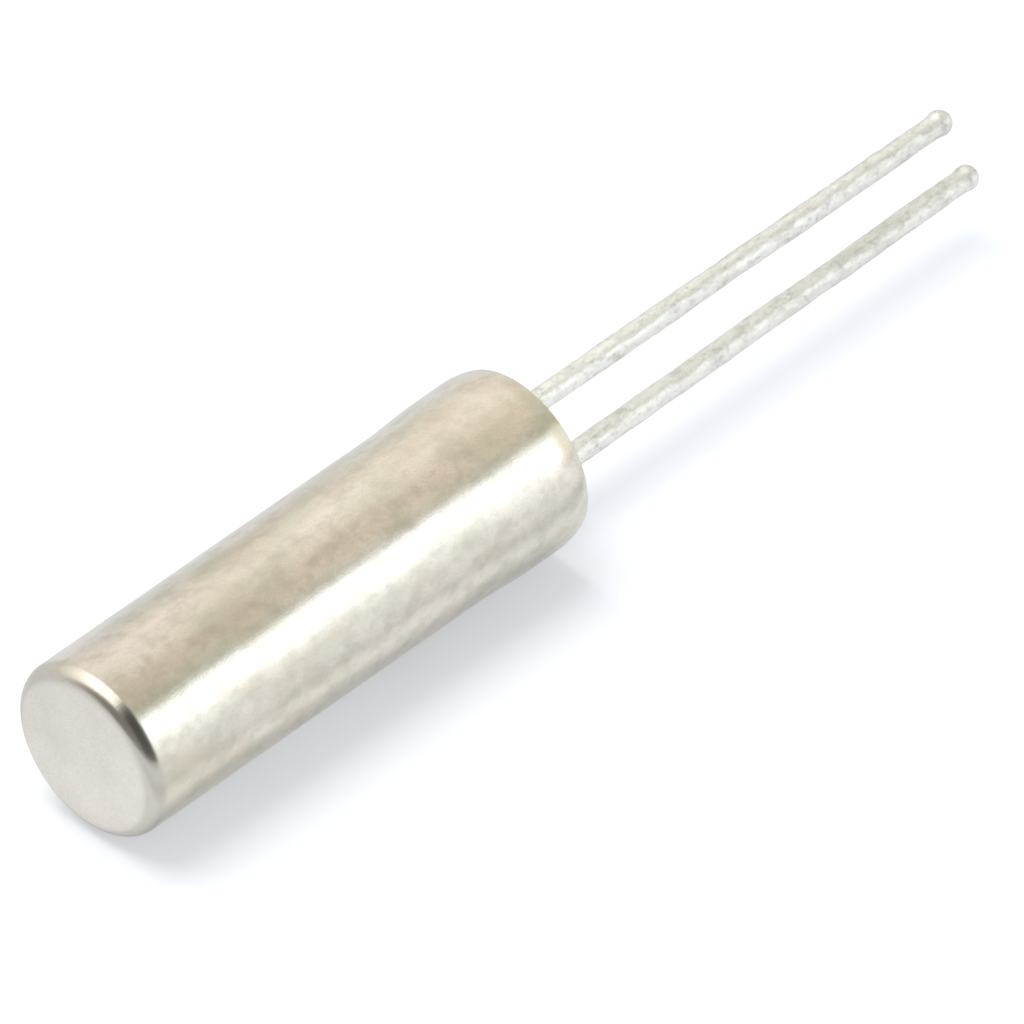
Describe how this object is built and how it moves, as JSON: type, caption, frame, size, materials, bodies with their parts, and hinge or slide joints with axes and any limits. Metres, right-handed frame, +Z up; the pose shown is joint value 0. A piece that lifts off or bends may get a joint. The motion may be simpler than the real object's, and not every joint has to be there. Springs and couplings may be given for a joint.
{
  "type": "cylinder crystal",
  "caption": "Quartz crystal resonator in a drawn cylindrical metal can with a rounded closed end and two parallel wire leads from a glass sealed base.",
  "frame": {"origin": "centre of the bounding box in X and Y, on the surface that the can lies on", "axes": "+X along the can from its closed end to the tips of the leads, +Z up from the surface that it lies on"},
  "size_m": [0.0193, 0.003, 0.0031],
  "materials": {
    "can_plating": "satin nickel plating on a drawn can",
    "base_plating": "plated iron nickel alloy",
    "seal_glass": "dark sealing glass, glossy",
    "lead_tin": "hot dipped tin, uneven",
    "quartz": "lapped quartz",
    "electrode_silver": "evaporated silver film",
    "conductive_adhesive": "silver filled resin"
  },
  "bodies": {
    "root": {"can": "can_plating", "base_ring": "base_plating", "glass_seal": "seal_glass", "upper_lead": "lead_tin", "lower_lead": "lead_tin", "crystal_blank": "quartz", "upper_electrode": "electrode_silver", "lower_electrode": "electrode_silver", "upper_adhesive": "conductive_adhesive", "lower_adhesive": "conductive_adhesive"}
  },
  "joints": []
}
